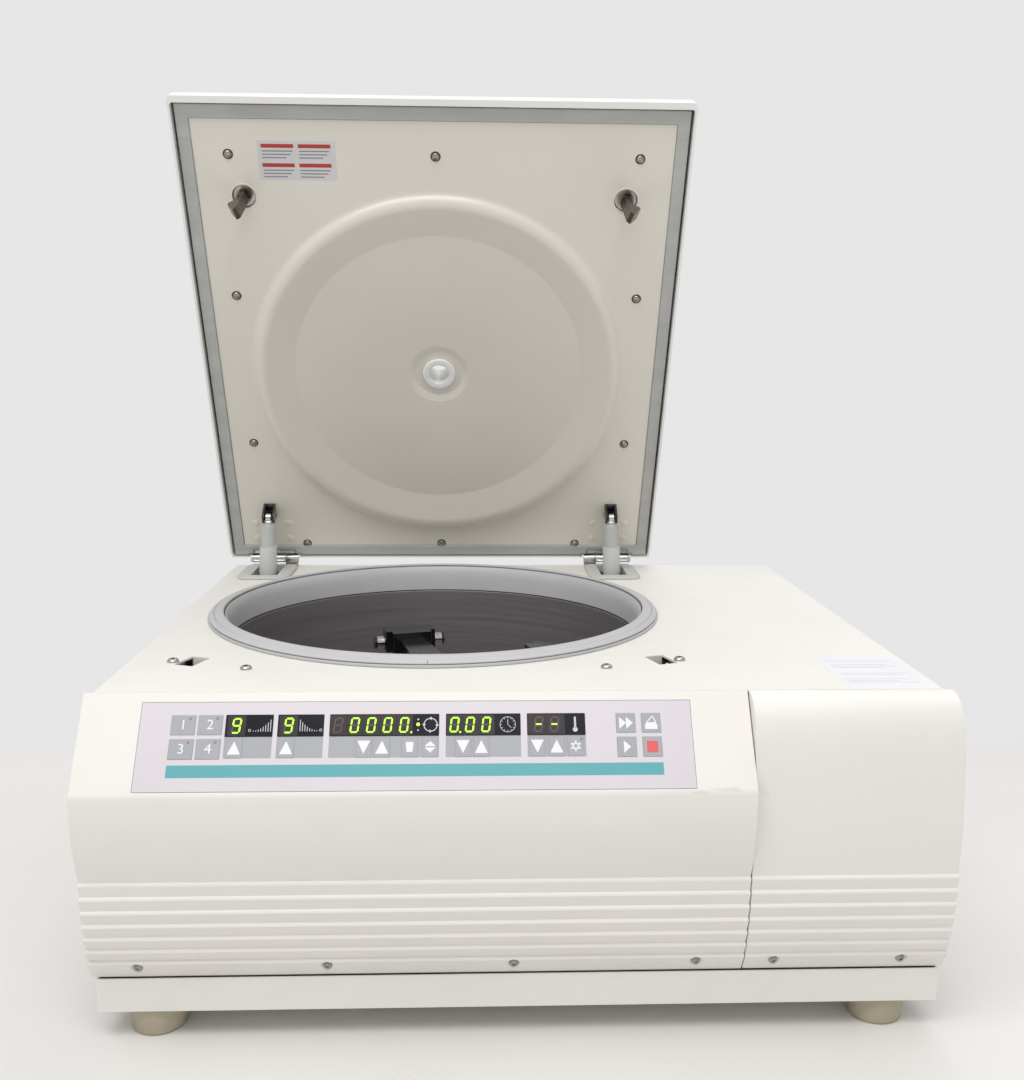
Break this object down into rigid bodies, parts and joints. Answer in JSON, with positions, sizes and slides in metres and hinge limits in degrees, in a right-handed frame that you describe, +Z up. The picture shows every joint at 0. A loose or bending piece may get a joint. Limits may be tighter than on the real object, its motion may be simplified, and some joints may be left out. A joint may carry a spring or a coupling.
{
  "type": "laboratory centrifuge",
  "caption": "Refrigerated bench-top laboratory centrifuge with its lid raised on gas springs, a swing-out rotor in a round chamber and a sloping control panel.",
  "frame": {"origin": "on the bench, under the middle of the machine's width and depth, level with the soles of the feet", "axes": "+X to the machine's right as its user sees it, +Y from the control panel to the rear, +Z up"},
  "size_m": [0.74, 0.66, 0.8654],
  "materials": {
    "housing_paint": "satin powder coat",
    "front_moulding": "fine satin grain",
    "lid_moulding": "satin",
    "lid_panel_paint": "satin paint",
    "edge_seal": "matte",
    "chamber_seal": "matte",
    "chamber_collar": "satin",
    "grey_plastic": "satin",
    "spring_paint": "satin",
    "control_foil": "satin print",
    "key_grey": "satin",
    "key_red": "satin",
    "bowl_stainless": "brushed in circles",
    "plated_steel": "bright",
    "machined_steel": "turned",
    "hook_steel": "dark bronze finish",
    "galvanised_steel": "zinc",
    "motor_casting": "cast",
    "rotor_black": "hard black coating",
    "black_plastic": "matte",
    "fork_black": "satin black",
    "compressor_black": "gloss black",
    "white_plastic": "satin",
    "foot_rubber": "matte",
    "fin_stock": "bare"
  },
  "bodies": {
    "root": {"base_tray": "housing_paint", "foot_front_left": "foot_rubber", "foot_front_right": "foot_rubber", "foot_rear_left": "foot_rubber", "foot_rear_right": "foot_rubber", "housing_cover": "housing_paint", "rear_panel": "housing_paint", "mains_inlet": "black_plastic", "front_fascia": "front_moulding", "front_side_cover": "front_moulding", "control_foil": "control_foil", "chamber_bowl": "bowl_stainless", "chamber_floor": "bowl_stainless", "chamber_collar": "chamber_collar", "chamber_gasket": "chamber_seal", "armour_ring": "galvanised_steel", "drive_motor": "motor_casting", "compressor": "compressor_black", "condenser": "fin_stock", "hinge_left": "plated_steel", "hinge_right": "plated_steel", "spring_bezel_left": "grey_plastic", "spring_bezel_right": "grey_plastic"},
    "lid": {"lid_shell": "lid_moulding", "lid_inner_panel": "lid_panel_paint", "lid_edge_seal": "edge_seal", "port_bush": "white_plastic", "latch_hook_left": "hook_steel", "latch_hook_right": "hook_steel", "spring_fork_left": "fork_black", "spring_fork_right": "fork_black"},
    "gas_cylinder_left": {"gas_cylinder_left": "spring_paint"},
    "gas_cylinder_right": {"gas_cylinder_right": "spring_paint"},
    "gas_rod_left": {"gas_rod_left": "plated_steel"},
    "gas_rod_right": {"gas_rod_right": "plated_steel"},
    "lock_catch_left": {"lock_catch_left": "galvanised_steel"},
    "lock_catch_right": {"lock_catch_right": "galvanised_steel"},
    "rotor": {"drive_shaft": "machined_steel", "rotor_cross": "rotor_black"},
    "condenser_fan": {"condenser_fan": "black_plastic"},
    "power_switch": {"power_switch": "black_plastic"},
    "key_1": {"key_1": "key_grey"},
    "key_2": {"key_2": "key_grey"},
    "key_3": {"key_3": "key_grey"},
    "key_4": {"key_4": "key_grey"},
    "key_acceleration_up": {"key_acceleration_up": "key_grey"},
    "key_braking_up": {"key_braking_up": "key_grey"},
    "key_speed_down": {"key_speed_down": "key_grey"},
    "key_speed_up": {"key_speed_up": "key_grey"},
    "key_rotor_select": {"key_rotor_select": "key_grey"},
    "key_unit_change": {"key_unit_change": "key_grey"},
    "key_time_down": {"key_time_down": "key_grey"},
    "key_time_up": {"key_time_up": "key_grey"},
    "key_temperature_down": {"key_temperature_down": "key_grey"},
    "key_temperature_up": {"key_temperature_up": "key_grey"},
    "key_precool": {"key_precool": "key_grey"},
    "key_quick_run": {"key_quick_run": "key_grey"},
    "key_lid_open": {"key_lid_open": "key_grey"},
    "key_start": {"key_start": "key_grey"},
    "key_stop": {"key_stop": "key_red"}
  },
  "joints": [
    {"name": "lid_hinge", "type": "hinge", "parent": "root", "child": "lid", "pos_m": [-0.085, 0.3136, 0.315], "axis": [1, 0, 0], "range_deg": [0, 64.5]},
    {"name": "spring_swing_left", "type": "hinge", "parent": "lid", "child": "gas_cylinder_left", "pos_m": [-0.311, 0.27001, 0.37619], "axis": [1, 0, 0], "range_deg": [-59.5, 0]},
    {"name": "spring_stroke_left", "type": "slide", "parent": "gas_cylinder_left", "child": "gas_rod_left", "axis": [0, 0.1992, 0.98], "range_m": [0, 0.0785]},
    {"name": "spring_swing_right", "type": "hinge", "parent": "lid", "child": "gas_cylinder_right", "pos_m": [0.141, 0.27001, 0.37619], "axis": [1, 0, 0], "range_deg": [-59.5, 0]},
    {"name": "spring_stroke_right", "type": "slide", "parent": "gas_cylinder_right", "child": "gas_rod_right", "axis": [0, 0.1992, 0.98], "range_m": [0, 0.0785]},
    {"name": "catch_slide_left", "type": "slide", "parent": "root", "child": "lock_catch_left", "axis": [0.9397, -0.342, 0], "range_m": [0, 0.008]},
    {"name": "catch_slide_right", "type": "slide", "parent": "root", "child": "lock_catch_right", "axis": [-0.9397, -0.342, 0], "range_m": [0, 0.008]},
    {"name": "rotor_spin", "type": "hinge", "parent": "root", "child": "rotor", "pos_m": [-0.085, 0.0386, 0.2], "axis": [0, 0, 1], "continuous": true},
    {"name": "fan_spin", "type": "hinge", "parent": "root", "child": "condenser_fan", "pos_m": [0.2645, 0.282, 0.16], "axis": [0, 1, 0], "continuous": true},
    {"name": "mains_rocker", "type": "hinge", "parent": "root", "child": "power_switch", "pos_m": [-0.236, 0.322, 0.096], "axis": [1, 0, 0], "range_deg": [-8, 8]},
    {"name": "key_1_press", "type": "slide", "parent": "root", "child": "key_1", "axis": [0, 0.8303, -0.5574], "range_m": [0, 0.0005], "stiffness_N_per_m": 2000},
    {"name": "key_2_press", "type": "slide", "parent": "root", "child": "key_2", "axis": [0, 0.8303, -0.5574], "range_m": [0, 0.0005], "stiffness_N_per_m": 2000},
    {"name": "key_3_press", "type": "slide", "parent": "root", "child": "key_3", "axis": [0, 0.8303, -0.5574], "range_m": [0, 0.0005], "stiffness_N_per_m": 2000},
    {"name": "key_4_press", "type": "slide", "parent": "root", "child": "key_4", "axis": [0, 0.8303, -0.5574], "range_m": [0, 0.0005], "stiffness_N_per_m": 2000},
    {"name": "key_acceleration_up_press", "type": "slide", "parent": "root", "child": "key_acceleration_up", "axis": [0, 0.8303, -0.5574], "range_m": [0, 0.0005], "stiffness_N_per_m": 2000},
    {"name": "key_braking_up_press", "type": "slide", "parent": "root", "child": "key_braking_up", "axis": [0, 0.8303, -0.5574], "range_m": [0, 0.0005], "stiffness_N_per_m": 2000},
    {"name": "key_speed_down_press", "type": "slide", "parent": "root", "child": "key_speed_down", "axis": [0, 0.8303, -0.5574], "range_m": [0, 0.0005], "stiffness_N_per_m": 2000},
    {"name": "key_speed_up_press", "type": "slide", "parent": "root", "child": "key_speed_up", "axis": [0, 0.8303, -0.5574], "range_m": [0, 0.0005], "stiffness_N_per_m": 2000},
    {"name": "key_rotor_select_press", "type": "slide", "parent": "root", "child": "key_rotor_select", "axis": [0, 0.8303, -0.5574], "range_m": [0, 0.0005], "stiffness_N_per_m": 2000},
    {"name": "key_unit_change_press", "type": "slide", "parent": "root", "child": "key_unit_change", "axis": [0, 0.8303, -0.5574], "range_m": [0, 0.0005], "stiffness_N_per_m": 2000},
    {"name": "key_time_down_press", "type": "slide", "parent": "root", "child": "key_time_down", "axis": [0, 0.8303, -0.5574], "range_m": [0, 0.0005], "stiffness_N_per_m": 2000},
    {"name": "key_time_up_press", "type": "slide", "parent": "root", "child": "key_time_up", "axis": [0, 0.8303, -0.5574], "range_m": [0, 0.0005], "stiffness_N_per_m": 2000},
    {"name": "key_temperature_down_press", "type": "slide", "parent": "root", "child": "key_temperature_down", "axis": [0, 0.8303, -0.5574], "range_m": [0, 0.0005], "stiffness_N_per_m": 2000},
    {"name": "key_temperature_up_press", "type": "slide", "parent": "root", "child": "key_temperature_up", "axis": [0, 0.8303, -0.5574], "range_m": [0, 0.0005], "stiffness_N_per_m": 2000},
    {"name": "key_precool_press", "type": "slide", "parent": "root", "child": "key_precool", "axis": [0, 0.8303, -0.5574], "range_m": [0, 0.0005], "stiffness_N_per_m": 2000},
    {"name": "key_quick_run_press", "type": "slide", "parent": "root", "child": "key_quick_run", "axis": [0, 0.8303, -0.5574], "range_m": [0, 0.0005], "stiffness_N_per_m": 2000},
    {"name": "key_lid_open_press", "type": "slide", "parent": "root", "child": "key_lid_open", "axis": [0, 0.8303, -0.5574], "range_m": [0, 0.0005], "stiffness_N_per_m": 2000},
    {"name": "key_start_press", "type": "slide", "parent": "root", "child": "key_start", "axis": [0, 0.8303, -0.5574], "range_m": [0, 0.0005], "stiffness_N_per_m": 2000},
    {"name": "key_stop_press", "type": "slide", "parent": "root", "child": "key_stop", "axis": [0, 0.8303, -0.5574], "range_m": [0, 0.0005], "stiffness_N_per_m": 2000}
  ],
  "couplings": [
    {"joint": "spring_swing_left", "follows": "lid_hinge", "ratio": -0.918},
    {"joint": "spring_stroke_left", "follows": "lid_hinge", "m_per_rad": 0.069351},
    {"joint": "spring_swing_right", "follows": "lid_hinge", "ratio": -0.918},
    {"joint": "spring_stroke_right", "follows": "lid_hinge", "m_per_rad": 0.069351},
    {"joint": "catch_slide_right", "follows": "catch_slide_left", "ratio": 1}
  ]
}
